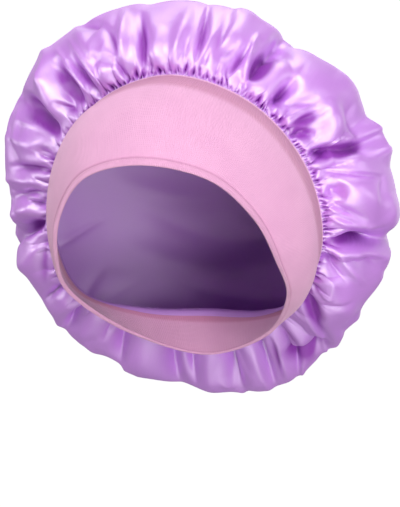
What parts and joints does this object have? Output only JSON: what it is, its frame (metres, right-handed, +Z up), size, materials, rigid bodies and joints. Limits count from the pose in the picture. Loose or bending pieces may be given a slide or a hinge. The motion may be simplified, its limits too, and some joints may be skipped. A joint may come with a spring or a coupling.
{
  "type": "sleep bonnet",
  "caption": "Puffed satin crown gathered on to a wide stretch-knit band, in worn form with its face opening clear and the satin hanging behind the neck.",
  "frame": {"origin": "middle of the head that wears it, between the ears at eye level, where the mount head_seat is", "axes": "+Z up, the wearer faces -Y, +X is the wearer's left"},
  "size_m": [0.2509, 0.2363, 0.2617],
  "materials": {
    "band_knit": "pink ribbed stretch knit, matt",
    "crown_satin": "lavender satin, soft directional gloss"
  },
  "bodies": {
    "root": {"band": "band_knit", "crown": "crown_satin"}
  },
  "joints": []
}
